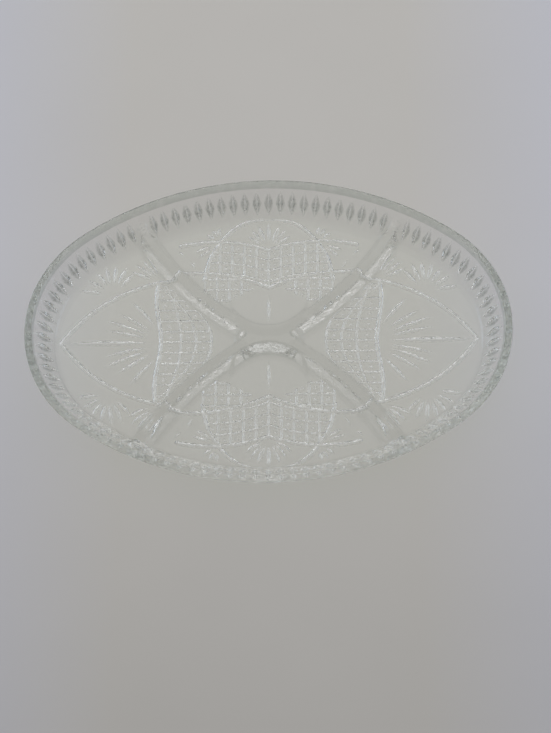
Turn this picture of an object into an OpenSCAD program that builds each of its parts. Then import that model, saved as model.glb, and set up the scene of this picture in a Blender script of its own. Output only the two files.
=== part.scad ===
// Oval relish tray of pressed glass, with four compartments.
// The origin is the middle of the face that it rests on. X is the long axis.
// The outline is an oval of four arcs, two for the ends and two for the sides,
// and every section of the wall is drawn as [distance outside the rim line, height].

/* [Overall] */
// Length over the rim
tray_l = 300; // [280:5:330]
// Width over the rim
tray_w = 212; // [200:2:224]
// Height to the top of the rim
tray_h = 22; // [20:0.5:28]
// Radius of the rim's outline at the two ends
end_r = 84; // [80:1:88]

/* [Floor] */
// Thickness of the floor
floor_t = 4; // [3:0.5:5]
// How far the edge of the resting face lies inside the rim line
base_inset = 16; // [12:0.5:20]
// Radius where the floor turns up into the wall
cove_r = 6; // [3:0.5:8]

/* [Wall] */
// Width of the flat top of the rim with its two soft edges
rim_w = 5.4; // [4.5:0.1:7]
// Height of the plain band above the flutes
band_h = 5; // [3:0.5:6]
// Radius of the rim's soft edges
edge_r = 0.8; // [0.4:0.1:1.2]

/* [Flutes] */
// Number of flutes round the wall
flute_count = 100; // [60:4:120]
// Length of one flute along the wall
flute_l = 14.5; // [8:0.5:15]
// Width of one flute at its middle
flute_w = 5; // [2:0.25:5.5]
// Depth of one flute at its middle
flute_depth = 1.3; // [0.6:0.1:1.6]

/* [Dividers] */
// Height of the dividers' crest over the table
crest_z = 13.5; // [10:0.5:15]
// Width of the crest
crest_w = 4; // [3:0.25:6]
// Width of a divider where it meets the floor
foot_w = 11; // [8:0.5:14]
// Radius of the crest's soft edges
crest_r = 1.2; // [0.4:0.1:1.4]
// Radius of the curve that a divider follows
arm_r = 190; // [150:5:300]
// Where the dividers' curves start, out from the middle
arm_start = 3.6; // [2:0.2:6]
// Where the dividers end inside the wall, along the tray
arm_end_x = 83; // [74:0.5:88]

/* [Hub] */
// Half the hub's width across its crest, between the two long-side compartments
hub_half_w = 5.65; // [4.5:0.1:8]
// Radius of the hollow sides of the hub, at the crest
hub_hollow_r = 31; // [24:1:40]
// Half the hub's length along its crest
hub_half_l = 13; // [10:0.5:16]
// Radius of the hub's hollow ends, at the crest
hub_end_r = 3.4; // [2:0.2:5]
// Where the hub ends and the dividers begin, along their curves
hub_reach = 20; // [16:1:26]

/* [Pressed pattern] */
// Width of the long curved lines in the underside
line_w = 3; // [1.5:0.25:4]
// Depth of the long curved lines
line_depth = 0.9; // [0.4:0.1:1.4]
// How far inside the floor's ends the long lines meet
tip_clear = 4.2; // [3:0.2:10]
// How far inside the floor's long sides the arches have their points
arch_clear = 2.7; // [2.2:0.1:8]
// Distance from an arch's point to the dip of the line across it
upper_drop = 21; // [16:0.5:26]
// Distance from that dip to where the long lines meet on the short axis
cusp_drop = 26.9; // [22:0.1:30]
// Radius of the long lines
lens_r = 100; // [90:1:120]
// Where an arch's side starts, along the tray
arch_foot_x = 40.5; // [36:0.5:46]
// How far inside the long line an arch's side starts
arch_foot_drop = 4; // [2:0.5:6]
// Radius of the arches' sides
arch_r = 60; // [45:1:80]
// Where the line across each arch ends, along the tray
upper_end_x = 57; // [50:1:62]
// How far its ends stand further out than its dip
upper_rise = 3.5; // [0:0.5:6]
// Radius of the line across each arch
upper_r = 91; // [80:1:110]
// Where the line that closes each end's hatching crosses the long axis
bow_x = 67; // [62:0.5:72]
// Half the length of that line
bow_half_l = 41; // [36:0.5:44]
// Radius of that line
bow_r = 290; // [200:10:400]

/* [Hatching] */
// Distance between the hatching's lines
hatch_pitch = 7.45; // [5:0.05:10]
// Width of the hatching's lines
hatch_w = 3; // [1.5:0.25:4]
// Depth of the hatching's lines
hatch_depth = 0.8; // [0.4:0.1:1.2]
// Where the ends' hatching starts, along the tray
hatch_x = 36; // [34:0.5:40]
// How many lines the ends' hatching has on each side of the long axis
hatch_lines = 5; // [3:1:5]
// Half the length of the ends' cross lines
end_cross_half_l = 18; // [12:1:24]
// Distance between the ends' cross lines
cross_pitch = 9.3; // [7:0.1:11]
// Half the length of the sides' hatching
side_hatch_half_l = 35; // [28:1:38]

/* [Fans] */
// Width of a fan's rays at their middle
ray_w = 2.6; // [1.5:0.1:4]
// Depth of a fan's rays at their middle
ray_depth = 0.8; // [0.4:0.1:1.2]
// Where the single long ray of each end starts
long_ray_x = 72; // [70:1:76]
// Middle of each end's fan, along the tray
end_fan_x = 62; // [58:0.5:66]
// Reach of each end's fan
end_fan_r = 44; // [36:1:48]
// Reach of the fans in the long sides' arches
side_fan_r = 20; // [16:0.5:21]
// Middle of the corner fans beside the arches, along the tray
corner_fan_x = 66; // [62:0.5:70]
// Middle of the corner fans beside the arches, across the tray
corner_fan_y = 42; // [38:0.5:46]
// Reach of those corner fans
corner_fan_r = 24; // [18:0.5:26]
// How far from the tray's ends the last corner fans have their middle
end_corner_in = 52; // [48:0.5:58]
// Middle of the corner fans near the ends, across the tray
end_corner_y = 35; // [32:0.5:38]
// Reach of those corner fans
end_corner_r = 18; // [14:0.5:19]
// Share of a fan's reach that stays plain round its middle
fan_clear_share = 0.28; // [0.2:0.01:0.4]

/* [Hidden] */

glass_tint = [0.80, 0.84, 0.83];
overrun = 1;
arc_steps = 5;
curve_fn = 96;

// The four arcs of the rim line
half_l = tray_l / 2;
half_w = tray_w / 2;
end_c = half_l - end_r;
side_r = (end_c * end_c + half_w * half_w - end_r * end_r) / (2 * (half_w - end_r));
side_c = side_r - half_w;
end_a = atan2(side_c, end_c);

// The wall's section
band_z = tray_h - band_h;
seat_inset = base_inset + edge_r;
wall_top_z = tray_h - edge_r;
outer_lean = base_inset / wall_top_z;
inner_foot_u = -rim_w - outer_lean * (wall_top_z - floor_t);
lean_a = atan(outer_lean);
cove_c = [inner_foot_u - cove_r * tan((90 - lean_a) / 2), floor_t + cove_r];

function arc_points(centre, r, from, to, steps) = [
    for (i = [0 : steps]) let (a = from + (to - from) * i / steps)
        [centre[0] + r * cos(a), centre[1] + r * sin(a)]
];
function outer_u(z) = -outer_lean * (wall_top_z - z);
function inner_u(z) = -rim_w - outer_lean * (wall_top_z - z);

// Centre of the arc of radius r that turns left on its way from p to q
function arc_centre(p, q, r) = let (chord = norm(q - p))
    (p + q) / 2 + [p[1] - q[1], q[0] - p[0]] / chord * sqrt(r * r - chord * chord / 4);

// The directions that belong to a long side's arc, as a wedge from its centre
module side_wedge() {
    wedge_reach = 1 + tray_w / side_c;
    linear_extrude(tray_h + overrun)
        polygon([
            [0, -side_c],
            [wedge_reach * end_c, tray_w],
            [-wedge_reach * end_c, tray_w]
        ]);
}

// Carries a section round the whole rim line
module sweep_oval() {
    for (side = [0, 1]) mirror([side, 0, 0])
        difference() {
            translate([end_c, 0, 0])
                rotate_extrude($fn = curve_fn) translate([end_r, 0]) children();
            for (face = [0, 1]) mirror([0, face, 0]) side_wedge();
        }
    for (side = [0, 1]) mirror([0, side, 0])
        intersection() {
            translate([0, -side_c, 0])
                rotate_extrude($fn = 2 * curve_fn) translate([side_r, 0]) children();
            side_wedge();
        }
}

// How far out across the tray an inset oval lies, at a place along it
function oval_y(x, inset) =
    x < end_c + (end_r - inset) * cos(end_a)
        ? sqrt((side_r - inset) * (side_r - inset) - x * x) - side_c
        : sqrt((end_r - inset) * (end_r - inset) - (x - end_c) * (x - end_c));

// The area inside the rim line, drawn in by an inset
module oval_area(inset) {
    meet_x = end_c + (end_r - inset) * cos(end_a);
    for (side = [-1, 1])
        translate([side * end_c, 0]) circle(r = end_r - inset, $fn = curve_fn);
    intersection() {
        translate([0, -side_c]) circle(r = side_r - inset, $fn = curve_fn);
        translate([0, side_c]) circle(r = side_r - inset, $fn = curve_fn);
        square([2 * meet_x, tray_w], center = true);
    }
}

// The wall from the resting face to the band, before the flutes are cut
module wall_section()
    polygon(concat(
        [[-seat_inset, 0], [-base_inset, 0], [outer_u(band_z), band_z], [inner_u(band_z), band_z]],
        arc_points(cove_c, cove_r, -lean_a, -90, arc_steps),
        [[-seat_inset, floor_t]]
    ));

// All that lies outside the wall's inner face, over the floor and under the band
module outside_section()
    polygon(concat(
        [[0, floor_t], [0, band_z], [inner_u(band_z), band_z]],
        arc_points(cove_c, cove_r, -lean_a, -90, arc_steps)
    ));

// The band, with its flat top and soft edges
module band_section() {
    inner_c = [-rim_w + edge_r, wall_top_z];
    outer_c = [-edge_r, wall_top_z];
    polygon(concat(
        [[inner_u(band_z), band_z], [outer_u(band_z), band_z]],
        arc_points(outer_c, edge_r, 0, 90, arc_steps),
        arc_points(inner_c, edge_r, 90, 180, arc_steps)
    ));
}

// A V-shaped cut's section, for material above it
module v_section(width, depth) {
    spread = width / 2 * (depth + overrun) / depth;
    polygon([[-spread, -overrun], [0, depth], [spread, -overrun]]);
}

// A V whose depth falls off to nothing at both ends, so that its outline is a slim diamond.
// It runs along X and is centred on the origin, in material above z = 0.
module pointed_cut(length, width, depth) {
    slant = atan2(width, length);
    intersection_for (side = [-1, 1])
        rotate([0, 0, side * slant])
            rotate([90, 0, 90])
                linear_extrude(2 * length, center = true)
                    v_section(length * sin(slant), depth);
}

// Places a thing at equal steps of direction on one arc, on the wall's outer face
module on_wall(centre_r, direction) {
    middle_z = (band_z + edge_r) / 2;
    rotate([0, 0, direction])
        translate([centre_r + outer_u(middle_z), 0, middle_z])
            rotate([0, lean_a - 90, 0]) children();
}

module flute_cuts() {
    mid_inset = base_inset / 2;
    end_arc = 2 * end_a * (end_r - mid_inset);
    side_arc = (180 - 2 * end_a) * (side_r - mid_inset);
    end_count = round(flute_count / 2 * end_arc / (end_arc + side_arc));
    side_count = flute_count / 2 - end_count;
    for (side = [0, 1]) mirror([side, 0, 0])
        translate([end_c, 0, 0])
            for (i = [0 : end_count - 1])
                on_wall(end_r, end_a * ((2 * i + 1) / end_count - 1))
                    pointed_cut(flute_l, flute_w, flute_depth);
    for (side = [0, 1]) mirror([0, side, 0])
        translate([0, -side_c, 0])
            for (i = [0 : side_count - 1])
                on_wall(side_r, 90 + (90 - end_a) * ((2 * i + 1) / side_count - 1))
                    pointed_cut(flute_l, flute_w, flute_depth);
}

// One divider's curve runs from the hub to the wall; these give its circle
arm_a = [arm_start, 0];
arm_b = [arm_end_x, oval_y(arm_end_x, base_inset / 2)];
arm_c = arc_centre(arm_a, arm_b, arm_r);
arm_from = atan2(arm_a[1] - arm_c[1], arm_a[0] - arm_c[0]);
arm_to = atan2(arm_b[1] - arm_c[1], arm_b[0] - arm_c[0]);
hub_to = arm_from + hub_reach / arm_r * 180 / PI;

module arm_section() {
    half_crest = crest_w / 2;
    draft_a = atan((foot_w - crest_w) / 2 / (crest_z - floor_t));
    drop = crest_r * (1 - sin(draft_a));
    corner = [half_crest - crest_r * cos(draft_a) + drop * tan(draft_a), crest_z - crest_r];
    right = arc_points(corner, crest_r, draft_a, 90, arc_steps);
    left = [for (i = [arc_steps : -1 : 0]) [-right[i][0], right[i][1]]];
    polygon(concat([[foot_w / 2, floor_t]], right, left, [[-foot_w / 2, floor_t]]));
}

module arm_piece(from, to)
    translate([arm_c[0], arm_c[1], 0])
        rotate([0, 0, from])
            rotate_extrude(angle = to - from, $fn = curve_fn)
                translate([arm_r, 0]) arm_section();

module divider()
    color(glass_tint)
        difference() {
            arm_piece(hub_to, arm_to);
            sweep_oval() outside_section();
        }

// The web between the hub's four stubs is hollowed by cones that lean like the dividers' sides
module centre_hub() {
    draft_run = (foot_w - crest_w) / 2;
    stub_end = arm_c + arm_r * [cos(hub_to), sin(hub_to)];
    web_h = crest_z - floor_t;
    color(glass_tint)
        union() {
            for (x_side = [0, 1], y_side = [0, 1])
                mirror([x_side, 0, 0]) mirror([0, y_side, 0]) arm_piece(arm_from, hub_to);
            difference() {
                translate([0, 0, floor_t])
                    linear_extrude(web_h)
                        polygon([
                            stub_end, [0, hub_half_w + draft_run], [-stub_end[0], stub_end[1]],
                            [-hub_half_l - draft_run, 0], -stub_end, [0, -hub_half_w - draft_run],
                            [stub_end[0], -stub_end[1]], [hub_half_l + draft_run, 0]
                        ]);
                for (side = [-1, 1]) {
                    translate([0, side * (hub_half_w + hub_hollow_r), floor_t])
                        cylinder(h = web_h, r1 = hub_hollow_r - draft_run, r2 = hub_hollow_r,
                                 $fn = curve_fn);
                    translate([side * (hub_half_l + hub_end_r), 0, floor_t])
                        cylinder(h = web_h, r1 = overrun / 4, r2 = hub_end_r, $fn = curve_fn);
                }
            }
        }
}

module fluted_wall()
    color(glass_tint)
        difference() {
            sweep_oval() wall_section();
            flute_cuts();
        }

module rim_band()
    color(glass_tint)
        sweep_oval() band_section();

// Carries a V along an arc in the underside, and a little past both ends so that mirrored arcs cross
module curved_cut(from, to, r) {
    centre = arc_centre(from, to, r);
    past = overrun / r * 180 / PI;
    translate([centre[0], centre[1], 0])
        rotate([0, 0, atan2(from[1] - centre[1], from[0] - centre[0]) - past])
            rotate_extrude(angle = 2 * asin(norm(to - from) / (2 * r)) + 2 * past, $fn = 2 * curve_fn)
                translate([r, 0]) children();
}

module straight_cut(from, to)
    translate([from[0], from[1], 0])
        rotate([90, 0, 90 + atan2(to[1] - from[1], to[0] - from[0])])
            linear_extrude(norm(to - from)) v_section(hatch_w, hatch_depth);

// Rays that spread from a point in the given directions
module fan(origin, directions, reach)
    for (direction = directions)
        translate([origin[0], origin[1], 0])
            rotate([0, 0, direction])
                translate([reach * (1 + fan_clear_share) / 2, 0, 0])
                    pointed_cut(reach * (1 - fan_clear_share), ray_w, ray_depth);

// Directions of the fans' rays, from the long axis
corner_fan_angles = [24, 38, 51, 67];
end_corner_angles = [10, 33, 58, 76, 92, 105, 120];
end_fan_angles = [-50, -36, -25, -13.5, 13.5, 25, 36, 50];
side_fan_angles = [36, 53, 69, 90, 111, 127, 144];

// The pattern's main places, taken from the floor's edge
tip_x = half_l - seat_inset - tip_clear;
arch_y = half_w - seat_inset - arch_clear;
upper_y = arch_y - upper_drop;
cusp_y = upper_y - cusp_drop;
end_corner_x = half_l - end_corner_in;

// Where the long lines lie, and where a divider's foot ends, for the hatching to stop at
function arc_y(centre, r, x) = centre[1] + sqrt(r * r - (x - centre[0]) * (x - centre[0]));
function lens_line_y(x) = arc_y(arc_centre([tip_x, 0], [0, cusp_y], lens_r), lens_r, x);
function upper_line_y(x) =
    arc_y(arc_centre([upper_end_x, upper_y + upper_rise], [0, upper_y], upper_r), upper_r, x);
function beside_arm(y) =
    arm_c[0] + sqrt(arm_r * arm_r - (abs(y) - arm_c[1]) * (abs(y) - arm_c[1])) + foot_w * 0.7;

// The long lines, mirrored into all four quarters
module quarter_lines() {
    curved_cut([tip_x, 0], [0, cusp_y], lens_r) v_section(line_w, line_depth);
    curved_cut([arch_foot_x, lens_line_y(arch_foot_x) - arch_foot_drop], [0, arch_y], arch_r)
        v_section(line_w, line_depth);
    curved_cut([upper_end_x, upper_y + upper_rise], [0, upper_y], upper_r)
        v_section(line_w, line_depth);
    fan([corner_fan_x, corner_fan_y], corner_fan_angles, corner_fan_r);
    fan([end_corner_x, end_corner_y], end_corner_angles, end_corner_r);
}

// One end's closing line, hatching, single ray and fan
module end_pattern() {
    bow_sag = bow_r - sqrt(bow_r * bow_r - bow_half_l * bow_half_l);
    curved_cut([bow_x + bow_sag, bow_half_l], [bow_x + bow_sag, -bow_half_l], bow_r)
        v_section(line_w, line_depth);
    for (k = [-hatch_lines : hatch_lines])
        let (y = k * hatch_pitch) straight_cut([max(hatch_x, beside_arm(y)), y], [bow_x, y]);
    for (k = [0 : 2])
        let (x = hatch_x + k * cross_pitch)
            straight_cut([x, -end_cross_half_l], [x, end_cross_half_l]);
    translate([(long_ray_x + tip_x) / 2, 0, 0]) pointed_cut(tip_x - long_ray_x, line_w, line_depth);
    fan([end_fan_x, 0], end_fan_angles, end_fan_r);
}

// One long side's hatching and fan
module side_pattern() {
    for (k = [1, 2])
        for (side = [0, 1]) mirror([side, 0, 0])
            curved_cut(
                [side_hatch_half_l, upper_line_y(side_hatch_half_l) - k * hatch_pitch],
                [0, upper_y - k * hatch_pitch], upper_r
            ) v_section(hatch_w, hatch_depth);
    for (k = [-4 : 4])
        let (x = k * hatch_pitch) straight_cut([x, lens_line_y(abs(x))], [x, upper_line_y(abs(x))]);
    fan([0, upper_y], side_fan_angles, side_fan_r);
}

module floor_panel()
    color(glass_tint)
        difference() {
            linear_extrude(floor_t) oval_area(seat_inset);
            for (x_side = [0, 1]) mirror([x_side, 0, 0]) {
                end_pattern();
                for (y_side = [0, 1]) mirror([0, y_side, 0]) quarter_lines();
            }
            for (y_side = [0, 1]) mirror([0, y_side, 0]) side_pattern();
        }

module divider_rear_right() divider();
module divider_rear_left() mirror([1, 0, 0]) divider();
module divider_front_right() mirror([0, 1, 0]) divider();
module divider_front_left() mirror([1, 0, 0]) mirror([0, 1, 0]) divider();

floor_panel();
fluted_wall();
rim_band();
centre_hub();
divider_rear_left();
divider_rear_right();
divider_front_left();
divider_front_right();
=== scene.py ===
import math

import bpy
import numpy as np
from mathutils import Matrix, Vector
from mathutils.geometry import delaunay_2d_cdt


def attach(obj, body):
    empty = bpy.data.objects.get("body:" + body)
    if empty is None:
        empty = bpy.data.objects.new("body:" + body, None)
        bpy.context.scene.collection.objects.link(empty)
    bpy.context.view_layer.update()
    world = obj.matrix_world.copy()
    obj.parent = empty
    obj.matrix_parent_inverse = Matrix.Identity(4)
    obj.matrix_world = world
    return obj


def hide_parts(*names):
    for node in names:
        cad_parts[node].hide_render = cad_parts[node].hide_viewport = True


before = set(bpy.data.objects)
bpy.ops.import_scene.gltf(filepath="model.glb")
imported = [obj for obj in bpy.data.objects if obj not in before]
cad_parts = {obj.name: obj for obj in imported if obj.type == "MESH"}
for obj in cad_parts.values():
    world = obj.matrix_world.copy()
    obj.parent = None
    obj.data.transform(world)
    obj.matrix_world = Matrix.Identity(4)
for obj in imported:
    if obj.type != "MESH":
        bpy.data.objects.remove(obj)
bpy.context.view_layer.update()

MM = 0.001

# Sizes in millimetres, in the part's own frame

# The oval of four arcs: the end arcs' centres lie on X, the side arcs' on Y
END_C, END_R = 66.0, 84.0
SIDE_C, SIDE_R = 88.0, 194.0

# Wall, rim and floor
RIM_Z = 22.0
WALL_TOP_Z = 21.2
BASE_INSET = 16.0
RIM_W = 5.4
FLOOR_T = 4.0
COVE_R = 6.0
RIM_EDGE_R = 0.9
FOOT_EDGE_R = 0.6

# Flutes in the wall's outer face
FLUTES = 100
FLUTE_COLUMNS = 12
FLUTE_HALF_W = 3.2
FLUTE_DEPTH = 1.6
FLUTE_MIDDLE_Z = 9.3
FLUTE_HALF_L = 9.0
FLUTE_POINT = 1.25
FLUTE_BY_DIVIDER = 0.3
BY_DIVIDER_REACH = (0, 5)

# Dividers and hub: the crest's outline, and the slope under it
CREST_Z = 13.5
CREST_HALF_W = 2.1
CREST_EDGE_R = 1.2
DIVIDER_DRAFT = math.radians(26)
DIVIDER_FOOT_R = 2.0
ARM_CENTRE = (-87.4, 166.8)
ARM_R = 190.0
HUB_HALF_W = 5.65
HUB_HOLLOW_R = 31.0
HUB_NOTCH_X = 13.0
HUB_NOTCH_R = 3.4
HUB_WEB_X = 19.0
WEB_BLEND = 1.2
WALL_BLEND_GROWTH = 2
WALL_BLEND_RANGE = (0.001, 9)

# Mesh
TOP_CELL = 0.7
UNDER_CELL = 0.5
TOP_EDGE_INSET = 6.6
UNDER_EDGE_INSET = 16.7
EDGE_CLEARANCE = 0.6
MERGE_DISTANCE = 1e-6
ON_EDGE = 1e-3
FOOT_ROWS = 4
WALL_ROWS = 44
WALL_ROW_START = 0.25
PLAIN_BAND_H = 2.2
RIM_EDGE_ROWS = 6
RIM_TOP_ROWS = 4


def smooth_step(a, b, v):
    t = np.clip((v - a) / (b - a), 0, 1)
    return t * t * (3 - 2 * t)


def blended_max(a, b, width):
    """The larger of two values, rounded off where they come within a width of each other."""
    h = np.maximum(width - np.abs(a - b), 0) / width
    return np.maximum(a, b) + h * h * width / 4


# The rim line is an oval of four arcs; every place is given by how far it lies inside that line

def inset_of(x, y):
    x, y = np.abs(x), np.abs(y)
    from_side = SIDE_R - np.hypot(x, y + SIDE_C)
    from_end = END_R - np.hypot(x - END_C, y)
    return np.where(x * SIDE_C < END_C * (y + SIDE_C), from_side, from_end)


def oval_points(inset, count):
    """Points of the oval at an inset, at the same shares of the rim line for every inset."""
    end_a = math.atan2(SIDE_C, END_C)
    side_a = math.pi / 2 - end_a
    middle = BASE_INSET / 2
    end_l = end_a * (END_R - middle)
    quarter = end_l + side_a * (SIDE_R - middle)
    s = np.arange(count) / count * 4 * quarter
    q = np.floor(s / quarter).astype(int) % 4
    r = s - np.floor(s / quarter) * quarter
    r = np.where(q % 2 == 1, quarter - r, r)
    on_end = r <= end_l
    a = np.where(on_end, r / (END_R - middle), end_a + (r - end_l) / (SIDE_R - middle))
    radius = np.where(on_end, END_R, SIDE_R) - inset
    x = np.where(on_end, END_C, 0) + radius * np.cos(a)
    y = np.where(on_end, 0, -SIDE_C) + radius * np.sin(a)
    x = np.where((q == 1) | (q == 2), -x, x)
    y = np.where(q >= 2, -y, y)
    return x, y


# The upper side: floor, cove, wall, dividers and hub as one height

def wall_height(inset):
    slope = WALL_TOP_Z / BASE_INSET
    line = WALL_TOP_Z - (inset - RIM_W) * slope
    foot = RIM_W + (WALL_TOP_Z - FLOOR_T) / slope
    cove_c = foot + COVE_R * math.tan(math.atan(slope) / 2)
    start = cove_c - COVE_R * math.sin(math.atan(slope))
    cove = FLOOR_T + COVE_R - np.sqrt(np.maximum(COVE_R ** 2 - (cove_c - inset) ** 2, 0))
    return np.where(inset < start, line, np.where(inset < cove_c, cove, FLOOR_T))


def from_arm(x, y):
    """Distance outside the arc that runs along the middle of a divider."""
    return np.hypot(x - ARM_CENTRE[0], y - ARM_CENTRE[1]) - ARM_R


def outside_crest(x, y):
    """Distance outside the outline of the dividers' crest and the hub's."""
    x, y = np.abs(x), np.abs(y)
    from_arc = from_arm(x, y)
    arm = np.abs(from_arc) - CREST_HALF_W
    hollow = HUB_HOLLOW_R - np.hypot(x, np.minimum(y - HUB_HALF_W - HUB_HOLLOW_R, 0))
    past_notch = x - HUB_NOTCH_X - HUB_NOTCH_R
    notch = HUB_NOTCH_R - np.hypot(past_notch, y)
    notch = np.where(past_notch > 0, np.maximum(notch, HUB_NOTCH_R - y), notch)
    web = np.where(
        from_arc > 0, np.maximum(notch, past_notch), np.maximum(hollow, x - HUB_WEB_X))
    return -blended_max(-arm, -web, WEB_BLEND)


def crest_profile(d):
    """Height over the floor at a distance outside the crest's outline."""
    rise = CREST_Z - FLOOR_T
    lean = math.tan(DIVIDER_DRAFT)
    turn = math.radians(90) - DIVIDER_DRAFT
    edge_r, foot_r = CREST_EDGE_R, DIVIDER_FOOT_R
    edge_c = -edge_r * math.tan(turn / 2)
    foot = rise * lean
    foot_c = foot + foot_r * math.tan(turn / 2)
    past_edge, before_foot = np.clip(d - edge_c, 0, edge_r), np.clip(foot_c - d, 0, foot_r)
    side = (foot - d) / lean
    upper = rise - edge_r + np.sqrt(np.maximum(edge_r ** 2 - past_edge ** 2, 0))
    lower = foot_r - np.sqrt(np.maximum(foot_r ** 2 - before_foot ** 2, 0))
    upper_end = edge_c + edge_r * math.sin(turn)
    lower_start = foot_c - foot_r * math.sin(turn)
    return np.where(d < upper_end, upper, np.where(d < lower_start, side, lower))


def top_height(x, y):
    """Height of the upper side, with the dividers run out into the wall."""
    divider = FLOOR_T + crest_profile(outside_crest(x, y))
    wall = wall_height(inset_of(x, y))
    width = np.clip(WALL_BLEND_GROWTH * (np.minimum(divider, wall) - FLOOR_T), *WALL_BLEND_RANGE)
    return blended_max(divider, wall, width)


# The underside: how deep the pressed pattern goes, worked out for one quarter and mirrored

LINE_HALF_W, LINE_DEPTH = 1.6, 1.3
LENS_C, LENS_R, CUSP_R = (46.3, -52.6), 98.0, 102.0
LENS_TURN = (math.radians(79), math.radians(88))
BOW_X, BOW_SWAY, BOW_WAVE, BOW_END_Y = 68.7, 1.7, 31, 42
UPPER_C, UPPER_R, UPPER_END_X = (33.8, -19.0), 91.0, 57
ARCH = [
    (40.5, 44), (38.5, 55), (35.5, 63.5), (30.8, 71), (26.5, 77), (20, 83), (12, 87.2), (0, 89.5)
]
ARCH_STEPS = 5

# Rays as (x, y of one end, x, y of the other, half width)
END_RAYS = [
    (72, 0, 128.5, 0, 2.0), (74, 2.9, 103, 9.5, 1.5), (73.5, 5, 103, 17, 1.5),
    (72.5, 7.5, 95, 22, 1.5), (70, 11, 87, 31, 1.5)
]
AXIS_RAY = (0, 13, 0, 34, 1.3)
STROKES = [(46, 52, 50, 59, 1.0), (53, 62, 58, 66, 1.0)]
RAY_STEEPNESS = 0.75

# Fans as a middle and their rays: degrees from X, nearer and farther end
SIDE_FAN = ((0, 66), [(90, 5, 22), (69, 5, 20), (53, 5, 19), (36, 5, 18)])
CORNER_FAN = ((66, 42), [(67, 7, 24), (51, 7, 24), (38, 7, 24), (24, 7, 24)])
END_FAN = (
    (98, 35),
    [(132, 6, 22), (113, 6, 23), (95, 6, 23), (76, 6, 22), (56, 6, 20), (33, 6, 20), (8, 6, 22)]
)
CROSS_FAN = ((30, 71), [(80, 5, 12), (60, 5, 12), (35, 5, 12), (-20, 6, 18), (-35, 6, 18)])
FAN_HALF_W, FAN_DEPTH = 1.7, 1.1

# Hatching. The columns at the ends are given by x on the middle line and their bow with y squared
HATCH_HALF_W, HATCH_DEPTH = 1.1, 0.9
CELL_HALF_W, CELL_DEPTH = 1.7, 0.7
ARM_CLEARANCE = 5.2
END_PITCH, END_HATCH_Y, END_MARGIN = 7.45, 41, 1
END_COLUMNS = [(35.5, 0.017), (45, 0.0154), (54.5, 0.0062)]
SIDE_PITCH = 7.7
LOW_PITCH, LOW_HALF_CELL = 7.75, 3.87
LOW_START_X, LOW_START_Y = 1.5, 37
LOW_X = (10, 41)
LOW_EDGE_X, LOW_EDGE_Y, LOW_EDGE_SLOPE = 12, 36, 0.55
PATTERN_FADE = 0.8


def lens_y(x):
    return LENS_C[1] + np.sqrt(np.maximum(CUSP_R ** 2 - (x - LENS_C[0]) ** 2, 0))


def upper_y(x):
    return UPPER_C[1] + np.sqrt(np.maximum(UPPER_R ** 2 - (x - UPPER_C[0]) ** 2, 0))


def bow_x(y):
    return BOW_X - BOW_SWAY * np.cos(math.pi * y / BOW_WAVE)


def groove(distance, half_w, depth):
    return depth * (1 - np.abs(distance) / half_w)


def line(distance):
    return groove(distance, LINE_HALF_W, LINE_DEPTH)


def spindle(x, y, x0, y0, x1, y1, half_w, depth):
    """A wheel's cut: widest and deepest at the middle, pointed at both ends."""
    half = math.hypot(x1 - x0, y1 - y0) / 2
    dx, dy = (x1 - x0) / 2 / half, (y1 - y0) / 2 / half
    along = (x - (x0 + x1) / 2) * dx + (y - (y0 + y1) / 2) * dy
    across = (y - (y0 + y1) / 2) * dx - (x - (x0 + x1) / 2) * dy
    return depth * (1 - (along / half) ** 2 - np.abs(across) / half_w)


def to_nearest(v, pitch):
    """Distance to the nearest multiple of a pitch."""
    return np.abs(v - np.round(v / pitch) * pitch)


def hatch(column_dist, half_cell, along, pitch):
    """Crossing V lines with a hollow in each cell, from the distance to the nearest column
    line and the place along it."""
    row_dist = to_nearest(along, pitch)
    lines = np.maximum(
        groove(column_dist, HATCH_HALF_W, HATCH_DEPTH), groove(row_dist, HATCH_HALF_W, HATCH_DEPTH))
    from_middle = np.maximum(half_cell - column_dist, pitch / 2 - row_dist)
    return np.maximum(lines, groove(from_middle, CELL_HALF_W, CELL_DEPTH))


def path_distance(x, y, points):
    best = np.full(np.shape(x), np.inf)
    for (ax, ay), (bx, by) in zip(points, points[1:]):
        dx, dy = bx - ax, by - ay
        t = np.clip(((x - ax) * dx + (y - ay) * dy) / (dx ** 2 + dy ** 2), 0, 1)
        best = np.minimum(best, np.hypot(x - ax - t * dx, y - ay - t * dy))
    return best


def smooth_path(points, steps):
    """A smooth curve through the points, which runs on past the last into its mirror image."""
    p = [np.array(v, float) for v in points]
    p = [2 * p[0] - p[1]] + p + [np.array([-points[-2][0], points[-2][1]], float)]
    out = []
    for a, b, c, d in zip(p, p[1:], p[2:], p[3:]):
        for i in range(steps):
            t = i / steps
            square, cube = 2 * a - 5 * b + 4 * c - d, 3 * b - a - 3 * c + d
            out.append(0.5 * (2 * b + (c - a) * t + square * t ** 2 + cube * t ** 3))
    out.append(p[-2])
    return [tuple(v) for v in out]


def lines_depth(x, y, arch):
    turn = np.arctan2(y - LENS_C[1], x - LENS_C[0])
    lens_r = LENS_R + (CUSP_R - LENS_R) * smooth_step(*LENS_TURN, turn)
    lens = line(np.hypot(x - LENS_C[0], y - LENS_C[1]) - lens_r)
    bow = np.where(y < BOW_END_Y, line(x - bow_x(y)), 0)
    upper = line(np.hypot(x - UPPER_C[0], y - UPPER_C[1]) - UPPER_R)
    upper = np.where(x < UPPER_END_X, upper, 0)
    return np.maximum.reduce([lens, bow, upper, line(path_distance(x, y, arch))])


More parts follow.
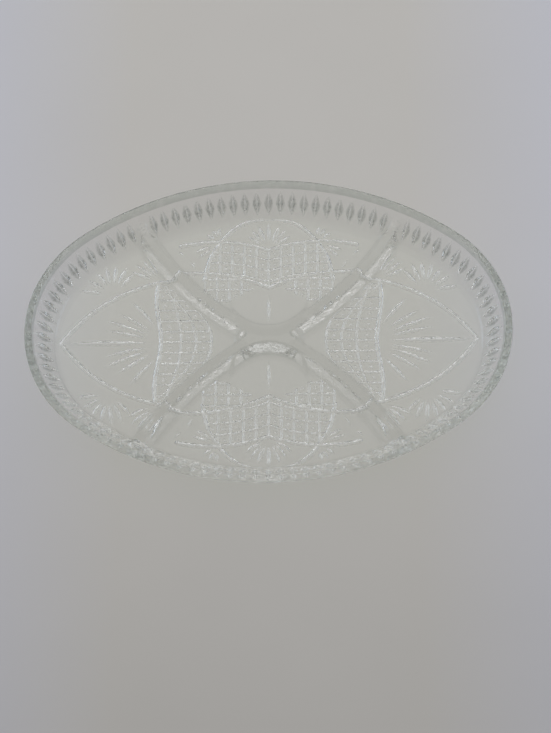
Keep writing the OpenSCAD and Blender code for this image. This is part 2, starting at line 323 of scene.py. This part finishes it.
def rays_depth(x, y):
    deep = np.zeros(np.shape(x))
    for x0, y0, x1, y1, half_w in END_RAYS + [AXIS_RAY] + STROKES:
        ray = spindle(x, y, x0, y0, x1, y1, half_w, half_w * RAY_STEEPNESS)
        deep = np.maximum(deep, ray)
    for (ox, oy), rays in (SIDE_FAN, CORNER_FAN, END_FAN, CROSS_FAN):
        for a, r0, r1 in rays:
            c, s = math.cos(math.radians(a)), math.sin(math.radians(a))
            ends = ox + c * r0, oy + s * r0, ox + c * r1, oy + s * r1
            deep = np.maximum(deep, spindle(x, y, *ends, FAN_HALF_W, FAN_DEPTH))
    return deep


def hatching_depth(x, y, arch):
    """The hatching, with a small four-sided hollow in each of its cells."""
    outside_arm = from_arm(x, y) > 0
    clear_arm = np.abs(from_arm(x, y)) > ARM_CLEARANCE

    # At the ends, between bowed columns
    cols = np.array([at + bow * y ** 2 for at, bow in END_COLUMNS] + [bow_x(y)])
    col_dist = np.min(np.abs(x - cols), axis=0)
    right = np.clip(np.sum(x > cols, axis=0), 1, len(cols) - 1)[None]
    cell_w = np.take_along_axis(cols, right, 0)[0] - np.take_along_axis(cols, right - 1, 0)[0]
    field = (x > cols[0] - END_MARGIN) & (x < cols[-1]) & (y < END_HATCH_Y)
    field &= clear_arm & outside_arm
    deep = np.where(field, hatch(col_dist, cell_w / 2, y, END_PITCH), 0)

    # At the sides, between the lens line, the upper line and the arch
    arch_x = np.interp(y, [p[1] for p in arch], [p[0] for p in arch])
    from_upper = upper_y(x) - y
    cells = hatch(to_nearest(x, SIDE_PITCH), SIDE_PITCH / 2, from_upper, SIDE_PITCH)
    field = (y > lens_y(x)) & (from_upper > 0) & (x < arch_x)
    deep = np.maximum(deep, np.where(field, cells, 0))

    # Between the lens line and the dividers
    col_dist = to_nearest(x - LOW_START_X, LOW_PITCH)
    cells = hatch(col_dist, LOW_HALF_CELL, y - LOW_START_Y, SIDE_PITCH)
    field = (y < lens_y(x)) & (y > LOW_EDGE_Y - LOW_EDGE_SLOPE * (x - LOW_EDGE_X))
    field &= (x > LOW_X[0]) & (x < LOW_X[1]) & clear_arm & ~outside_arm
    return np.maximum(deep, np.where(field, cells, 0))


def pattern_depth(x, y):
    """Depth of the whole pattern, which stays inside the edge of the resting face."""
    inside_edge = smooth_step(UNDER_EDGE_INSET, UNDER_EDGE_INSET + PATTERN_FADE, inset_of(x, y))
    x, y = np.abs(x), np.abs(y)
    arch = smooth_path(ARCH, ARCH_STEPS)
    deep = [lines_depth(x, y, arch), rays_depth(x, y), hatching_depth(x, y, arch)]
    return np.maximum.reduce(deep) * inside_edge


# Building the mesh

def joined_ring(vx, vy, edges, ox, oy):
    """Fills the gap between a sheet's border edges and a ring of points: the border's vertex
    numbers, the triangles, numbered with the border first and then the ring, and their middles."""
    border = np.unique(edges)
    local = {int(v): k for k, v in enumerate(border)}
    points = [Vector((float(vx[v]), float(vy[v]))) for v in border]
    points += [Vector((float(a), float(b))) for a, b in zip(ox, oy)]
    n, count = len(border), len(ox)
    fixed = [(local[int(a)], local[int(b)]) for a, b in edges]
    fixed += [(n + k, n + (k + 1) % count) for k in range(count)]
    tris = delaunay_2d_cdt(points, fixed, [], 0, MERGE_DISTANCE, False)[2]
    tris = np.array([t for t in tris if len(t) == 3])
    px = np.array([p.x for p in points])
    py = np.array([p.y for p in points])
    return border, tris, px[tris].mean(axis=1), py[tris].mean(axis=1)


def oval_sheet(edge_inset, cell, height, count):
    """A grid inside the oval, joined to the oval's own points: vertices, quads, triangles and
    the number of the first vertex on the oval."""
    nx = int((END_C + END_R) / cell) + 1
    ny = int((SIDE_R - SIDE_C) / cell) + 1
    gx, gy = np.meshgrid(
        np.arange(-nx, nx + 1) * cell, np.arange(-ny, ny + 1) * cell, indexing="ij")
    inside = inset_of(gx, gy) > edge_inset + cell * EDGE_CLEARANCE
    cells = inside[:-1, :-1] & inside[1:, :-1] & inside[1:, 1:] & inside[:-1, 1:]
    used = np.zeros_like(inside)
    used[:-1, :-1] |= cells
    used[1:, :-1] |= cells
    used[1:, 1:] |= cells
    used[:-1, 1:] |= cells
    index = np.full(inside.shape, -1)
    index[used] = np.arange(used.sum())
    i, j = np.nonzero(cells)
    quads = np.stack([index[i, j], index[i + 1, j], index[i + 1, j + 1], index[i, j + 1]], axis=1)

    # The border is every cell side that has no neighbour
    padded = np.pad(cells, 1)
    edges = []
    for di, dj, ends in ((-1, 0, (0, 3)), (1, 0, (1, 2)), (0, -1, (0, 1)), (0, 1, (3, 2))):
        bare = ~padded[i + 1 + di, j + 1 + dj]
        edges.append(quads[bare][:, ends])
    vx, vy = gx[used], gy[used]
    ox, oy = oval_points(edge_inset, count)
    border, tris, cx, cy = joined_ring(vx, vy, np.concatenate(edges), ox, oy)

    # Triangles that lie over the grid or outside the oval go
    ci = np.clip(np.floor(cx / cell).astype(int) + nx, 0, cells.shape[0] - 1)
    cj = np.clip(np.floor(cy / cell).astype(int) + ny, 0, cells.shape[1] - 1)
    tris = tris[~cells[ci, cj] & (inset_of(cx, cy) > edge_inset - ON_EDGE)]
    first_on_oval = used.sum()
    tris = np.concatenate([border, first_on_oval + np.arange(count)])[tris]

    # All face the same way
    x, y = np.append(vx, ox), np.append(vy, oy)
    (ax, bx, cx), (ay, by, cy) = x[tris].T, y[tris].T
    back = (bx - ax) * (cy - ay) - (by - ay) * (cx - ax) < 0
    tris[back] = tris[back][:, ::-1]
    return np.stack([x, y, height(x, y)], axis=1), quads, tris, first_on_oval


def wall_rows():
    """The wall's section, from the resting face up its outside, over the rim and down to the
    inner sheet, as (inset, z, share of the flutes)."""
    lean = BASE_INSET / WALL_TOP_Z
    lean_a = math.atan(lean)
    rows = []

    # The foot's edge and the outer face
    turn = math.atan2(WALL_TOP_Z, BASE_INSET)
    reach = FOOT_EDGE_R * math.tan(turn / 2)
    for k in range(FOOT_ROWS):
        a = turn * k / FOOT_ROWS
        inset = BASE_INSET + reach - FOOT_EDGE_R * math.sin(a)
        rows.append((inset, FOOT_EDGE_R * (1 - math.cos(a)), 0))
    start = rows[-1][1] + WALL_ROW_START
    end = RIM_Z - PLAIN_BAND_H
    for k in range(WALL_ROWS + 1):
        z = start + (end - start) * k / WALL_ROWS
        rows.append((BASE_INSET - lean * z, z, 1))

    # The rim's outer edge, flat top and inner edge
    r = RIM_EDGE_R
    outer_turn = math.pi / 2 + lean_a
    outer_c = BASE_INSET - lean * RIM_Z + r * math.tan(outer_turn / 2)
    steps = RIM_EDGE_ROWS - 1
    for k in range(RIM_EDGE_ROWS):
        a = -lean_a + outer_turn * k / steps
        rows.append((outer_c - r * math.cos(a), RIM_Z - r + r * math.sin(a), 0))
    inner_turn = math.pi / 2 - lean_a
    inner_c = RIM_W + (WALL_TOP_Z - RIM_Z) * lean - r * math.tan(inner_turn / 2)
    for k in range(1, RIM_TOP_ROWS):
        rows.append((outer_c + (inner_c - outer_c) * k / RIM_TOP_ROWS, RIM_Z, 0))
    for k in range(RIM_EDGE_ROWS):
        a = inner_turn * k / steps
        rows.append((inner_c + r * math.sin(a), RIM_Z - r + r * math.cos(a), 0))
    return rows


# How far a cut counts as pressed, and where shade is painted into the glass's colour, for the
# material

FULL_CUT = 0.7
SHADE_CUT = 0.5
FLUTE_LINE_W = 0.8
FLUTE_DULL_REAR, FLUTE_DULL_FRONT = 0.5, 1.5
FRONT_Y = (-20, -85)
FRONT_SHADE_LOSS = 0.6
OFF_DIVIDER_REACH = (2, 7)
SLOPE_START, SLOPE_END = (-0.5, 0.8), (4, 7)
SLOPE_INSET = (7, 12)
SLOPE_SHADE, HUB_SHADE = 0.2, 0.3
HUB_SHADE_REACH = (10, 24)


def fluted_wall(rows, count):
    """The wall's points, how pressed they are and how much shade is painted on their flutes'
    facets, row by row.
    """
    side = math.hypot(BASE_INSET, WALL_TOP_Z)
    normal_in, normal_up = WALL_TOP_Z / side, BASE_INSET / side
    middle = oval_points(BASE_INSET / 2, count)
    perimeter = np.hypot(*(np.roll(v, -1) - v for v in middle)).sum()
    half = FLUTE_COLUMNS / 2
    across = np.abs((np.arange(count) + half) % FLUTE_COLUMNS - half) * perimeter / count
    x, y = oval_points(0, count)
    x1, y1 = oval_points(1, count)
    by_divider = smooth_step(*BY_DIVIDER_REACH, outside_crest(x, y))
    by_divider = FLUTE_BY_DIVIDER + (1 - FLUTE_BY_DIVIDER) * by_divider
    # Painted shade on the flutes' facets is left off near the dividers' ends and along each flute's
    # middle line, and lessened towards the front
    off_divider = smooth_step(*OFF_DIVIDER_REACH, outside_crest(x, y))
    front = smooth_step(*FRONT_Y, y)
    dull = FLUTE_DULL_REAR + (FLUTE_DULL_FRONT - FLUTE_DULL_REAR) * front
    off_line = np.clip(across / FLUTE_LINE_W, 0, 1) * (1 - FRONT_SHADE_LOSS * front)
    points, pressed, painted_shade = [], [], []
    for inset, z, fluted in rows:
        along = (z - FLUTE_MIDDLE_Z) / WALL_TOP_Z * side / FLUTE_HALF_L
        share = 1 - np.abs(along) ** FLUTE_POINT - across / FLUTE_HALF_W
        cut = fluted * np.maximum(FLUTE_DEPTH * share, 0) * by_divider
        i = inset + normal_in * cut
        points.append(np.stack([x + (x1 - x) * i, y + (y1 - y) * i, z + normal_up * cut], axis=1))
        pressed.append(cut * dull)
        painted_shade.append(off_divider * np.clip(cut / SHADE_CUT, 0, 1) * off_line)
    return points, pressed, painted_shade


def slope_painted_shade(x, y):
    """Painted shade on the dividers' and the hub's slopes, strongest at the hub's front, where it
    darkens a bright patch of light.
    """
    off_crest = outside_crest(x, y)
    at_hub = 1 - smooth_step(*HUB_SHADE_REACH, np.hypot(x, y + HUB_HALF_W))
    slope = smooth_step(*SLOPE_START, off_crest) * (1 - smooth_step(*SLOPE_END, off_crest))
    return slope * smooth_step(*SLOPE_INSET, inset_of(x, y)) * (SLOPE_SHADE + HUB_SHADE * at_hub)


def new_mesh(name, verts, quads, tris):
    mesh = bpy.data.meshes.new(name)
    mesh.vertices.add(len(verts))
    mesh.vertices.foreach_set("co", (verts * MM).astype(np.float32).ravel())
    loops = np.concatenate([quads.ravel(), tris.ravel()]).astype(np.int32)
    sizes = np.concatenate([np.full(len(quads), 4), np.full(len(tris), 3)])
    mesh.loops.add(len(loops))
    mesh.loops.foreach_set("vertex_index", loops)
    mesh.polygons.add(len(sizes))
    mesh.polygons.foreach_set("loop_start", (np.cumsum(sizes) - sizes).astype(np.int32))
    mesh.update(calc_edges=True)
    mesh.validate()
    return mesh


def point_values(mesh, name, values):
    attribute = mesh.attributes.new(name, "FLOAT", "POINT")
    attribute.data.foreach_set("value", values.astype(np.float32))


def build_tray():
    count = FLUTES * FLUTE_COLUMNS
    top, top_quads, top_tris, top_rim = oval_sheet(TOP_EDGE_INSET, TOP_CELL, top_height, count)
    under, under_quads, under_tris, under_rim = oval_sheet(
        UNDER_EDGE_INSET, UNDER_CELL, pattern_depth, count)
    rows = wall_rows()
    wall, wall_pressed, wall_painted_shade = fluted_wall(rows, count)

    # One skin: the under sheet, the wall's rings and the top sheet, each joined to the next
    first_under = len(top)
    first_wall = first_under + len(under)
    k = np.arange(count)
    after = (k + 1) % count
    rings = [first_under + under_rim + k]
    rings += [first_wall + r * count + k for r in range(len(rows))]
    rings.append(top_rim + k)
    strips = [np.stack([a[k], a[after], b[after], b[k]], axis=1) for a, b in zip(rings, rings[1:])]
    quads = np.concatenate([top_quads, (under_quads + first_under)[:, ::-1]] + strips)
    tris = np.concatenate([top_tris, (under_tris + first_under)[:, ::-1]])
    mesh = new_mesh("pressed_tray", np.concatenate([top, under, *wall]), quads, tris)

    cut = np.concatenate([np.zeros(len(top)), under[:, 2], *wall_pressed])
    point_values(mesh, "pressed", np.clip(cut / FULL_CUT, 0, 1))
    # Painted shade on the slopes of the dividers and hub and on the flutes' facets, which darkens
    # the glass's colour
    painted_darkening = slope_painted_shade(top[:, 0], top[:, 1])
    point_values(mesh, "painted_shade", np.concatenate([painted_darkening, np.zeros(len(under)), *wall_painted_shade]))
    mesh.polygons.foreach_set("use_smooth", np.ones(len(mesh.polygons), bool))
    mesh.update()
    tray = bpy.data.objects.new("pressed_tray", mesh)
    bpy.context.scene.collection.objects.link(tray)
    return tray


# Node helpers

def node(tree, kind, **values):
    """A new node; in_Some_Name sets the input "Some Name", other names set the node itself."""
    n = tree.nodes.new(kind)
    for key, value in values.items():
        if key.startswith("in_"):
            n.inputs[key[3:].replace("_", " ")].default_value = value
        else:
            setattr(n, key, value)
    return n


def feed(tree, socket, value):
    """Links a socket to another node's output, or sets it to a plain value."""
    if isinstance(value, bpy.types.NodeSocket):
        tree.links.new(value, socket)
    else:
        socket.default_value = value


def noise(tree, place, scale, detail):
    n = node(tree, "ShaderNodeTexNoise", in_Scale=scale, in_Detail=detail)
    feed(tree, n.inputs["Vector"], place)
    return n.outputs["Fac"]


def map_range(tree, value, source=(0, 1), target=(0, 1)):
    n = node(
        tree, "ShaderNodeMapRange", in_From_Min=source[0], in_From_Max=source[1],
        in_To_Min=target[0], in_To_Max=target[1])
    feed(tree, n.inputs["Value"], value)
    return n.outputs["Result"]


def calculate(tree, operation, *terms):
    n = node(tree, "ShaderNodeMath", operation=operation)
    for socket, term in zip(n.inputs, terms):
        feed(tree, socket, term)
    return n.outputs["Value"]


def mix_colour(tree, factor, a, b, blend="MIX"):
    n = node(tree, "ShaderNodeMix", data_type="RGBA", blend_type=blend)
    for name, value in (("Factor", factor), ("A", a), ("B", b)):
        feed(tree, n.inputs[name], value)
    return n.outputs["Result"]


def ramp(tree, value, colours, places=(0, 1)):
    n = node(tree, "ShaderNodeValToRGB")
    for element, place, colour in zip(n.color_ramp.elements, places, colours):
        element.position = place
        element.color = colour
    feed(tree, n.inputs["Fac"], value)
    return n.outputs["Color"]


def object_place(tree):
    """The object's own coordinates, as one vector and taken apart."""
    vector = node(tree, "ShaderNodeTexCoord").outputs["Object"]
    parts = node(tree, "ShaderNodeSeparateXYZ")
    feed(tree, parts.inputs["Vector"], vector)
    return vector, parts.outputs


def new_material(name):
    mat = bpy.data.materials.new(name)
    mat.use_nodes = True
    return mat, mat.node_tree, mat.node_tree.nodes["Principled BSDF"]


# Materials. Places are in metres, as the nodes read them, and a noise is given by its scale and
# detail

WHITE = (1, 1, 1, 1)
GLASS_IOR = 1.51
HAZE_NOISE, HAZE_ROUGHNESS = (60.0, 3.0), (0.0, 0.06)
PRESSED_ROUGHNESS = 0.32
FROST_NOISE, FROST_RANGE, FROST_SHARE = (620.0, 2.0), (0.48, 0.66), (0.05, 0.95)
WAVE_NOISE, WAVE_DISTANCE = (260.0, 3.0), 0.0004
WAVE_Z, WAVE_STRENGTH = (4.2 * MM, 5.5 * MM), (0.1, 0.65)
# Painted shade on the rim's flat top: a grey-green darkening, mottled, and weaker towards the front
RIM_SHADE_COLOUR = (0.57, 0.615, 0.585, 1)
RIM_SHADE_Z = (20.4 * MM, 20.8 * MM)
RIM_SHADE_Y, RIM_SHADE_SHARE = (-100 * MM, -35 * MM), (0.1, 1)
SHADE_MOTTLE_RANGE, SHADE_MOTTLE_SHARE = (0.38, 0.62), (0.8, 1.15)
# Colour of the painted shade on the flutes' facets and on the slopes of the dividers and hub
PAINTED_SHADE_COLOUR = (0.50, 0.525, 0.51, 1)
LET_THROUGH = (0.988, 0.998, 0.982, 1)
ABSORB_DENSITY, ABSORB_COLOUR = 9.0, (0.63, 0.645, 0.605, 1)

TABLE_Z, TABLE_SIZE = -0.0004, 14
TABLE_NOISE = (9.0, 4.0)
TABLE_COLOURS = ((0.71, 0.69, 0.66, 1), (0.75, 0.73, 0.70, 1))
# Painted shade: the table is darker towards the front
TABLE_NEAR_Y, TABLE_NEAR_SHADE = (-0.3, 0.05), (0.8, 0.8, 0.8, 1)
# Painted light: a bluish window light painted into the table towards both sides
TABLE_SIDE_X, TABLE_SIDE_PAINTED_LIGHT = (0.09, 0.2), (1.0, 1.04, 1.19, 1)


def glass_material():
    """Clear glass, slightly uneven above the floor, with a mottled frost in its pressed cuts and
    shade painted into its colour on the rim, the flutes and the slopes.
    """
    mat, tree, bsdf = new_material("clear_pressed_glass")
    bsdf.inputs["Transmission Weight"].default_value = 1
    bsdf.inputs["IOR"].default_value = GLASS_IOR
    vector, place = object_place(tree)
    wave = noise(tree, vector, *WAVE_NOISE)
    pressed = node(tree, "ShaderNodeAttribute", attribute_name="pressed").outputs["Fac"]
    painted_shade = node(tree, "ShaderNodeAttribute", attribute_name="painted_shade").outputs["Fac"]

    # Painted shade on the rim's flat top, weaker at the front, and painted shade on the flutes'
    # facets and on the slopes of the dividers and hub
    rim_shade = map_range(tree, place["Z"], RIM_SHADE_Z)
    behind = map_range(tree, place["Y"], RIM_SHADE_Y, RIM_SHADE_SHARE)
    shade_mottle = map_range(tree, wave, SHADE_MOTTLE_RANGE, SHADE_MOTTLE_SHARE)
    rim_shade = calculate(tree, "MULTIPLY", shade_mottle, calculate(tree, "MULTIPLY", rim_shade, behind))
    painted_darkening = mix_colour(tree, rim_shade, WHITE, RIM_SHADE_COLOUR)
    feed(tree, bsdf.inputs["Base Color"], mix_colour(tree, painted_shade, painted_darkening, PAINTED_SHADE_COLOUR))

    haze = map_range(tree, noise(tree, vector, *HAZE_NOISE), target=HAZE_ROUGHNESS)
    dull = calculate(tree, "MULTIPLY_ADD", pressed, PRESSED_ROUGHNESS, haze)
    feed(tree, bsdf.inputs["Roughness"], dull)
    frost = map_range(tree, noise(tree, vector, *FROST_NOISE), FROST_RANGE, FROST_SHARE)
    clear = calculate(tree, "SUBTRACT", 1.0, calculate(tree, "MULTIPLY", frost, pressed))
    feed(tree, bsdf.inputs["Transmission Weight"], clear)

    bump = node(tree, "ShaderNodeBump", in_Distance=WAVE_DISTANCE)
    feed(tree, bump.inputs["Strength"], map_range(tree, place["Z"], WAVE_Z, WAVE_STRENGTH))
    feed(tree, bump.inputs["Height"], wave)
    feed(tree, bsdf.inputs["Normal"], bump.outputs["Normal"])

    # Light goes straight through to the table, which is as bright under the tray as beside it
    rays = node(tree, "ShaderNodeLightPath").outputs
    straight = calculate(tree, "MAXIMUM", rays["Is Shadow Ray"], rays["Is Diffuse Ray"])
    let_through = node(tree, "ShaderNodeBsdfTransparent", in_Color=LET_THROUGH)
    both = node(tree, "ShaderNodeMixShader")
    for socket, value in zip(
            both.inputs, (straight, bsdf.outputs["BSDF"], let_through.outputs["BSDF"])):
        feed(tree, socket, value)
    absorb = node(
        tree, "ShaderNodeVolumeAbsorption", in_Density=ABSORB_DENSITY, in_Color=ABSORB_COLOUR)
    output = tree.nodes["Material Output"]
    feed(tree, output.inputs["Surface"], both.outputs["Shader"])
    feed(tree, output.inputs["Volume"], absorb.outputs["Volume"])
    return mat


def floor_material():
    """A matt pale table, with painted shade that makes it a little darker towards the front and a
    painted bluish light that makes it bluer to both sides.
    """
    mat, tree, bsdf = new_material("pale_table")
    bsdf.inputs["Roughness"].default_value = 1.0
    bsdf.inputs["Specular IOR Level"].default_value = 0.0
    vector, place = object_place(tree)
    colour = ramp(tree, noise(tree, vector, *TABLE_NOISE), TABLE_COLOURS)
    # Painted shade, darker towards the front
    nearer = ramp(tree, map_range(tree, place["Y"], TABLE_NEAR_Y), (TABLE_NEAR_SHADE, WHITE))
    colour = mix_colour(tree, 1, colour, nearer, "MULTIPLY")
    # Painted bluish light, stronger towards both sides
    sideways = map_range(tree, calculate(tree, "ABSOLUTE", place["X"]), TABLE_SIDE_X)
    colour = mix_colour(tree, sideways, colour, TABLE_SIDE_PAINTED_LIGHT, "MULTIPLY")
    feed(tree, bsdf.inputs["Base Color"], colour)
    return mat


tray = build_tray()
tray.data.materials.append(glass_material())
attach(tray, "root")
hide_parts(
    "floor_panel", "fluted_wall", "rim_band", "centre_hub",
    "divider_rear_left", "divider_rear_right", "divider_front_left", "divider_front_right"
)

bpy.ops.mesh.primitive_plane_add(size=TABLE_SIZE, location=(0, 0, TABLE_Z))
table = bpy.context.object
table.name = "table"
table.data.materials.append(floor_material())


# Light: soft windows as (name, size, power, place, aim, colour), in metres and watts, and a room
# that is brighter on one side

WINDOWS = [
    ("window", (4.0, 3.2), 14.7, (-0.3, 0.8, 1.55), (0, 0, 0), (1.0, 0.985, 0.965)),
    ("left window", (0.8, 0.6), 1.9, (-1.3, 0.6, 0.6), (-0.5, 0.3, 0), (0.6, 0.76, 1.0)),
    ("right window", (0.8, 0.6), 2.4, (1.3, 0.3, 0.6), (0.3, 0, 0), (0.75, 0.85, 1.0)),
]
ROOM_TURN = (math.radians(-66), 0, math.radians(-20))
ROOM_COLOURS = ((0.11, 0.107, 0.103, 1), (0.465, 0.46, 0.452, 1))
ROOM_PLACES = (0.4, 0.85)


def area_light(name, size, power, place, aim, colour):
    data = bpy.data.lights.new(name, "AREA")
    data.shape = "RECTANGLE"
    data.size, data.size_y = size
    data.energy = power
    data.color = colour
    light = bpy.data.objects.new(name, data)
    light.location = place
    light.rotation_euler = (Vector(aim) - Vector(place)).to_track_quat("-Z", "Y").to_euler()
    bpy.context.scene.collection.objects.link(light)


def light_room():
    world = bpy.data.worlds.new("room")
    bpy.context.scene.world = world
    world.use_nodes = True
    tree = world.node_tree
    turned = node(tree, "ShaderNodeMapping", vector_type="POINT", in_Rotation=ROOM_TURN)
    feed(tree, turned.inputs["Vector"], node(tree, "ShaderNodeTexCoord").outputs["Generated"])
    axis = node(tree, "ShaderNodeSeparateXYZ")
    feed(tree, axis.inputs["Vector"], turned.outputs["Vector"])
    share = map_range(tree, axis.outputs["Y"], (-1, 1))
    background = tree.nodes["Background"]
    background.inputs["Strength"].default_value = 1
    feed(tree, background.inputs["Color"], ramp(tree, share, ROOM_COLOURS, ROOM_PLACES))


for window in WINDOWS:
    area_light(*window)
light_room()


# Camera, as fitted to the photograph: angles in radians, distance and aim in millimetres

CAMERA_ELEVATION = math.radians(62)
CAMERA_TURN, CAMERA_ROLL = 0.046, -0.053
CAMERA_DISTANCE, CAMERA_AIM = 1420.5, (4.07, -16.64, 0)
SENSOR_W, FOCAL_LENGTH = 36, 112.96
CLIP_END = 10
GLASS_BOUNCES, DIFFUSE_BOUNCES = 24, 8


def place_camera():
    level, rise = math.cos(CAMERA_ELEVATION), math.sin(CAMERA_ELEVATION)
    back = Vector((math.sin(CAMERA_TURN) * level, -math.cos(CAMERA_TURN) * level, rise))
    right = (-back).cross(Vector((0, 0, 1))).normalized()
    up = right.cross(-back)
    c, s = math.cos(CAMERA_ROLL), math.sin(CAMERA_ROLL)
    right, up = c * right + s * up, -s * right + c * up
    data = bpy.data.cameras.new("camera")
    data.sensor_width = SENSOR_W
    data.lens = FOCAL_LENGTH
    data.clip_end = CLIP_END
    camera = bpy.data.objects.new("camera", data)
    place = (Vector(CAMERA_AIM) + back * CAMERA_DISTANCE) * MM
    turn = Matrix((right, up, back)).transposed().to_4x4()
    camera.matrix_world = Matrix.Translation(place) @ turn
    bpy.context.scene.collection.objects.link(camera)
    bpy.context.scene.camera = camera


place_camera()
bpy.context.scene.view_settings.view_transform = "Standard"
bpy.context.scene.cycles.max_bounces = GLASS_BOUNCES
bpy.context.scene.cycles.transmission_bounces = GLASS_BOUNCES
bpy.context.scene.cycles.glossy_bounces = GLASS_BOUNCES
bpy.context.scene.cycles.diffuse_bounces = DIFFUSE_BOUNCES
